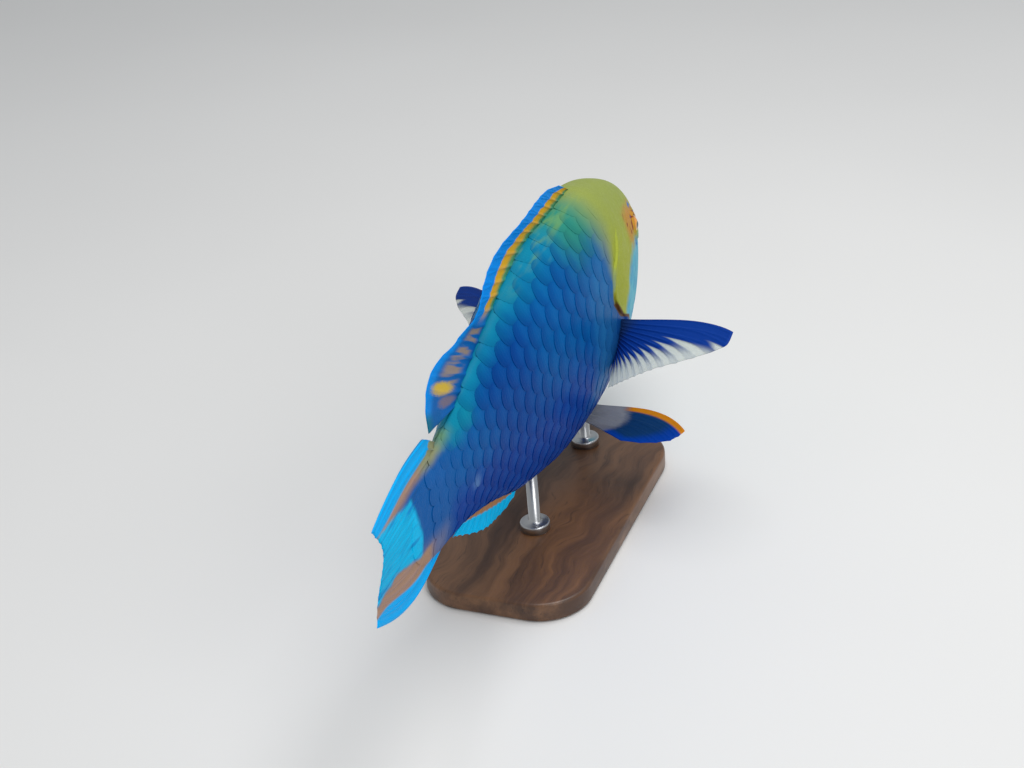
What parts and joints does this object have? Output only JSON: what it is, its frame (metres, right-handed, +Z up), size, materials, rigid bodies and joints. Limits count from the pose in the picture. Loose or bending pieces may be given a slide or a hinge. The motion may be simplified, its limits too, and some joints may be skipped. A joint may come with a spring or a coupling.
{
  "type": "parrotfish model",
  "caption": "Life-size still model of a swimming parrotfish with ridged fins, a beak and a slight bend of the body, held by short rods on a flat display base.",
  "frame": {"origin": "middle of the underside of the stand's base", "axes": "+X towards the fish's snout, +Y to the fish's left, +Z up"},
  "size_m": [0.4632, 0.2049, 0.2068],
  "materials": {
    "head_skin": "painted skin, olive yellow",
    "trunk_skin": "painted skin, teal to deep blue",
    "tail_skin": "painted skin, deep blue",
    "dorsal_skin": "thin painted fin, bright blue margin",
    "anal_skin": "thin painted fin, cyan",
    "caudal_skin": "thin painted fin, cyan with orange-brown bands",
    "pectoral_skin": "thin painted fin, deep blue",
    "pelvic_skin": "thin painted fin, dark blue with an orange edge",
    "eye": "glossy",
    "beak": "smooth enamel",
    "stand_wood": "dark satin",
    "stand_steel": "satin"
  },
  "bodies": {
    "root": {"head": "head_skin", "trunk": "trunk_skin", "tail_stalk": "tail_skin", "dorsal_fin": "dorsal_skin", "anal_fin": "anal_skin", "caudal_fin": "caudal_skin", "pectoral_fin_left": "pectoral_skin", "pectoral_fin_right": "pectoral_skin", "pelvic_fin_left": "pelvic_skin", "pelvic_fin_right": "pelvic_skin", "eye_left": "eye", "eye_right": "eye", "beak_upper": "beak", "beak_lower": "beak", "stand_base": "stand_wood", "stand_rod_front": "stand_steel", "stand_rod_rear": "stand_steel"}
  },
  "joints": []
}
